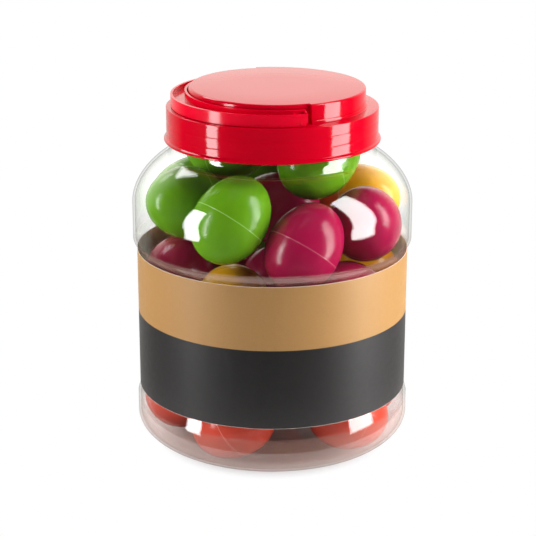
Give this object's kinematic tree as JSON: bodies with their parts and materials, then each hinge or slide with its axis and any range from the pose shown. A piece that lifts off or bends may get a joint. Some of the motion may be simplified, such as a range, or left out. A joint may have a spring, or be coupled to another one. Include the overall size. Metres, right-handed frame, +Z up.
{
  "type": "jar of egg shakers",
  "caption": "Clear wide-mouth plastic jar with a red screw lid, folding carry handle and wrap label, filled with coloured egg shakers that hold loose shot",
  "frame": {"origin": "on the jar axis, at the level of the standing ring", "axes": "+Z up along the jar axis, -Y towards the side shown in the picture, +X to its right"},
  "size_m": [0.164, 0.164, 0.2142],
  "materials": {
    "jar_clear": "clear polished",
    "label_print": "satin print",
    "lid_red": "gloss moulded",
    "handle_red": "gloss moulded",
    "liner_foam": "matte foam",
    "egg_green": "semi-gloss",
    "egg_magenta": "semi-gloss",
    "egg_yellow": "semi-gloss",
    "egg_red": "semi-gloss",
    "steel_shot": "dull"
  },
  "bodies": {
    "jar": {"bottom_egg_1": "egg_red", "bottom_egg_2": "egg_red", "bottom_left_egg_blunt_shell": "egg_red", "bottom_left_egg_point_shell": "egg_red", "bottom_right_egg_blunt_shell": "egg_red", "bottom_right_egg_point_shell": "egg_red", "core_egg_1": "egg_red", "core_egg_2": "egg_magenta", "core_egg_3": "egg_magenta", "front_left_egg_blunt_shell": "egg_green", "front_left_egg_point_shell": "egg_green", "front_right_egg_blunt_shell": "egg_magenta", "front_right_egg_point_shell": "egg_magenta", "heel_egg_1": "egg_red", "heel_egg_2": "egg_red", "jar_body": "jar_clear", "label_band": "label_print", "left_egg_blunt_shell": "egg_green", "left_egg_point_shell": "egg_green", "low_egg_1": "egg_yellow", "low_egg_2": "egg_magenta", "low_egg_3": "egg_yellow", "low_egg_4": "egg_green", "low_egg_5": "egg_magenta", "low_left_egg_blunt_shell": "egg_magenta", "low_left_egg_point_shell": "egg_magenta", "middle_egg_1": "egg_yellow", "middle_egg_2": "egg_green", "middle_egg_3": "egg_red", "middle_egg_4": "egg_yellow", "neck_egg_blunt_shell": "egg_green", "neck_egg_point_shell": "egg_green", "right_egg_blunt_shell": "egg_magenta", "right_egg_point_shell": "egg_magenta", "side_egg_1": "egg_magenta", "side_egg_2": "egg_magenta", "top_egg_1": "egg_green", "top_egg_2": "egg_magenta", "upper_egg_1": "egg_yellow", "upper_egg_2": "egg_green", "upper_egg_3": "egg_green"},
    "liner": {"lid_liner": "liner_foam"},
    "lid": {"lid": "lid_red"},
    "handle": {"carry_handle": "handle_red"},
    "left_egg_charge": {"left_egg_shot_charge": "steel_shot"},
    "front_left_egg_charge": {"front_left_egg_shot_charge": "steel_shot"},
    "front_right_egg_charge": {"front_right_egg_shot_charge": "steel_shot"},
    "right_egg_charge": {"right_egg_shot_charge": "steel_shot"},
    "neck_egg_charge": {"neck_egg_shot_charge": "steel_shot"},
    "low_left_egg_charge": {"low_left_egg_shot_charge": "steel_shot"},
    "bottom_left_egg_charge": {"bottom_left_egg_shot_charge": "steel_shot"},
    "bottom_right_egg_charge": {"bottom_right_egg_shot_charge": "steel_shot"}
  },
  "joints": [
    {"name": "lid_lift", "type": "slide", "parent": "jar", "child": "liner", "axis": [0, 0, 1], "range_m": [0, 0.00751]},
    {"name": "lid_turn", "type": "hinge", "parent": "liner", "child": "lid", "pos_m": [0, 0, 0.19], "axis": [0, 0, 1], "range_deg": [0, 450]},
    {"name": "handle_swing", "type": "hinge", "parent": "lid", "child": "handle", "pos_m": [0, 0, 0.2073], "axis": [-0.2924, 0.9563, 0], "range_deg": [0, 90]},
    {"name": "left_egg_shake", "type": "slide", "parent": "jar", "child": "left_egg_charge", "axis": [-0.7323, -0.6366, 0.2419], "range_m": [-0.004, 0.004]},
    {"name": "front_left_egg_shake", "type": "slide", "parent": "jar", "child": "front_left_egg_charge", "axis": [0.5265, 0.3687, 0.766], "range_m": [-0.004, 0.004]},
    {"name": "front_right_egg_shake", "type": "slide", "parent": "jar", "child": "front_right_egg_charge", "axis": [0.4981, 0.3619, 0.788], "range_m": [-0.004, 0.004]},
    {"name": "right_egg_shake", "type": "slide", "parent": "jar", "child": "right_egg_charge", "axis": [-0.0141, -0.8089, 0.5878], "range_m": [-0.004, 0.004]},
    {"name": "neck_egg_shake", "type": "slide", "parent": "jar", "child": "neck_egg_charge", "axis": [0.7006, 0.509, 0.5], "range_m": [-0.004, 0.004]},
    {"name": "low_left_egg_shake", "type": "slide", "parent": "jar", "child": "low_left_egg_charge", "axis": [-0.0346, -0.9919, -0.1219], "range_m": [-0.004, 0.004]},
    {"name": "bottom_left_egg_shake", "type": "slide", "parent": "jar", "child": "bottom_left_egg_charge", "axis": [-0.789, 0.3349, -0.515], "range_m": [-0.004, 0.004]},
    {"name": "bottom_right_egg_shake", "type": "slide", "parent": "jar", "child": "bottom_right_egg_charge", "axis": [0.7647, 0.5355, -0.3584], "range_m": [-0.004, 0.004]}
  ],
  "couplings": [
    {"joint": "lid_lift", "follows": "lid_turn", "m_per_rad": 0.00095493}
  ]
}
